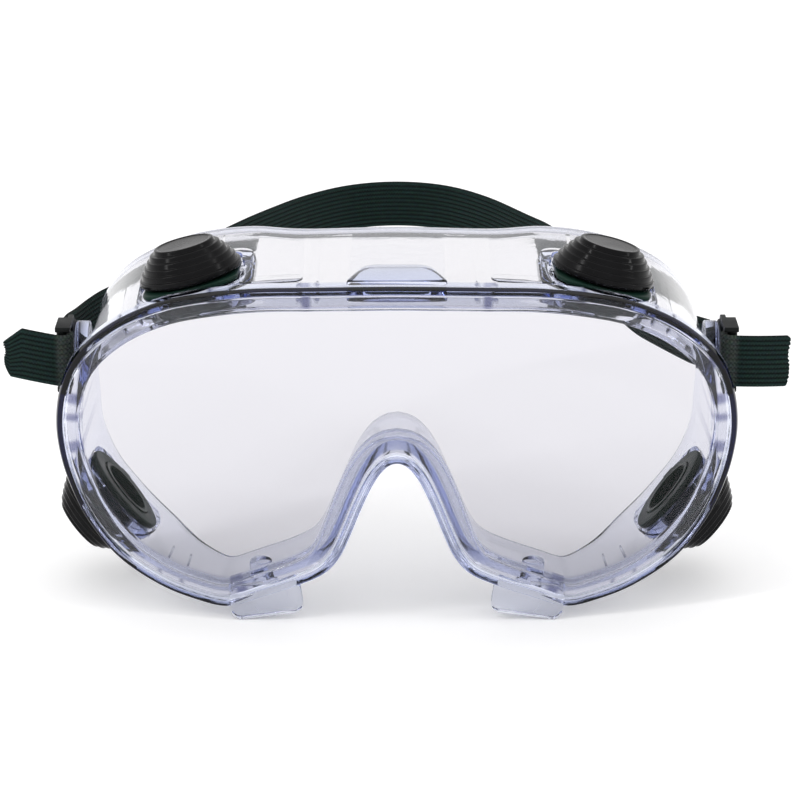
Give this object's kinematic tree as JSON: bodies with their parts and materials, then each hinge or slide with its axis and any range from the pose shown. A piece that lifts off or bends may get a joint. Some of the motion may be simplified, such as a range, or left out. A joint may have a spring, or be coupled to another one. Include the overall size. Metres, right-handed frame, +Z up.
{
  "type": "chemical splash goggles",
  "caption": "Clear chemical splash goggles with a soft frame, one-piece bowed lens, capped round vents and an elastic headband on swivelling buckles.",
  "frame": {"origin": "under the middle of the whole object, at the lowest edge of the two bottom tabs", "axes": "+X towards the wearer's left side, which is the viewer's right from the front; the lens faces -Y and the headband runs back along +Y; +Z up"},
  "size_m": [0.2022, 0.1642, 0.097],
  "materials": {
    "clear_pvc": "clear, bluish, soft",
    "clear_lens": "clear, polished",
    "black_plastic": "gloss",
    "collar_plastic": "gloss",
    "green_plastic": "satin",
    "buckle_plastic": "satin",
    "elastic_webbing": "ribbed weave"
  },
  "bodies": {
    "goggles": {"frame": "clear_pvc", "lens": "clear_lens", "vent_collar_top_left": "collar_plastic", "vent_plate_top_left": "green_plastic", "vent_lock_ring_top_left": "green_plastic", "vent_collar_top_right": "collar_plastic", "vent_plate_top_right": "green_plastic", "vent_lock_ring_top_right": "green_plastic", "vent_collar_lower_left": "collar_plastic", "vent_plate_lower_left": "green_plastic", "vent_lock_ring_lower_left": "green_plastic", "vent_collar_lower_right": "collar_plastic", "vent_plate_lower_right": "green_plastic", "vent_lock_ring_lower_right": "green_plastic"},
    "cap_top_left": {"vent_cap_top_left": "black_plastic"},
    "cap_top_right": {"vent_cap_top_right": "black_plastic"},
    "cap_lower_left": {"vent_cap_lower_left": "black_plastic"},
    "cap_lower_right": {"vent_cap_lower_right": "black_plastic"},
    "headband": {"strap": "elastic_webbing", "buckle_left": "buckle_plastic", "buckle_right": "buckle_plastic"}
  },
  "joints": [
    {"name": "cap_turn_top_left", "type": "hinge", "parent": "goggles", "child": "cap_top_left", "pos_m": [-0.05159, -0.0573, 0.08391], "axis": [-0.2352, 0.0797, 0.9687], "continuous": true},
    {"name": "cap_turn_top_right", "type": "hinge", "parent": "goggles", "child": "cap_top_right", "pos_m": [0.05159, -0.0573, 0.08391], "axis": [0.2352, 0.0797, 0.9687], "continuous": true},
    {"name": "cap_turn_lower_left", "type": "hinge", "parent": "goggles", "child": "cap_lower_left", "pos_m": [-0.07544, -0.0481, 0.02134], "axis": [-0.7839, -0.1191, -0.6094], "continuous": true},
    {"name": "cap_turn_lower_right", "type": "hinge", "parent": "goggles", "child": "cap_lower_right", "pos_m": [0.07544, -0.0481, 0.02134], "axis": [0.7839, -0.1191, -0.6094], "continuous": true},
    {"name": "strap_swing", "type": "hinge", "parent": "goggles", "child": "headband", "pos_m": [0, -0.0461, 0.06408], "axis": [1, 0, 0], "range_deg": [-18, 75]}
  ]
}
